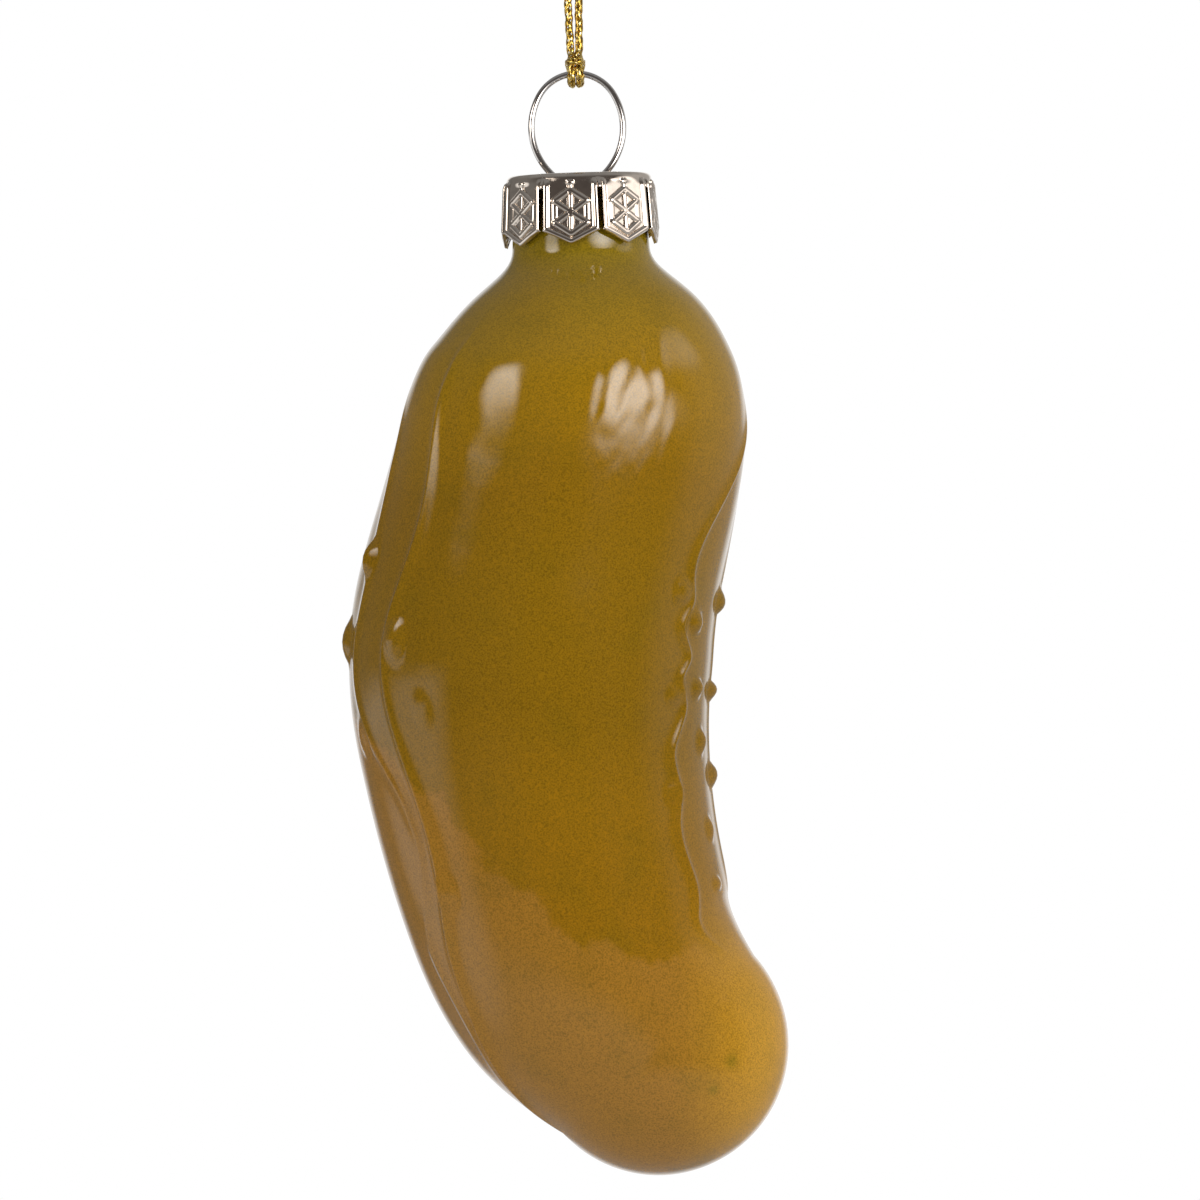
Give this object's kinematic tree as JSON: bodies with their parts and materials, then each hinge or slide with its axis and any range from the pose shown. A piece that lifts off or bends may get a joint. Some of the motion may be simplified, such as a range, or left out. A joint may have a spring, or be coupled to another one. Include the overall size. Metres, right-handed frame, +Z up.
{
  "type": "hanging pickle ornament",
  "caption": "Hollow blown-glass gherkin with ridges and warts, closed by a petalled metal cap, with a sprung wire ring and a cord loop to hang it from a twig.",
  "frame": {"origin": "hang point at the top inside of the cord loop, under the knot", "axes": "+Z up along the neck's axis, front faces -Y, the tip of the body bends towards +X"},
  "size_m": [0.0499, 0.0395, 0.164],
  "materials": {
    "lacquered_glass": "glossy olive to ochre lacquer with fine speckle",
    "cap_metal": "bright embossed sheet metal",
    "wire": "bright drawn wire",
    "cord": "gold metallic braid"
  },
  "bodies": {
    "cord": {"cord_hitch": "cord", "cord_strand_left": "cord", "cord_strand_right": "cord", "cord_knot": "cord"},
    "hanger": {"wire_hanger": "wire"},
    "cap": {"crown_cap": "cap_metal"},
    "body": {"glass_body": "lacquered_glass"}
  },
  "joints": [
    {"name": "hang_swing", "type": "hinge", "parent": "cord", "child": "hanger", "pos_m": [0, 0, -0.028], "axis": [1, 0, 0], "range_deg": [-140, 140]},
    {"name": "hanger_rock", "type": "hinge", "parent": "hanger", "child": "cap", "pos_m": [0, 0, -0.04012], "axis": [1, 0, 0], "range_deg": [-6, 6]},
    {"name": "cap_pull", "type": "slide", "parent": "cap", "child": "body", "axis": [0, 0, -1], "range_m": [0, 0.02]}
  ]
}
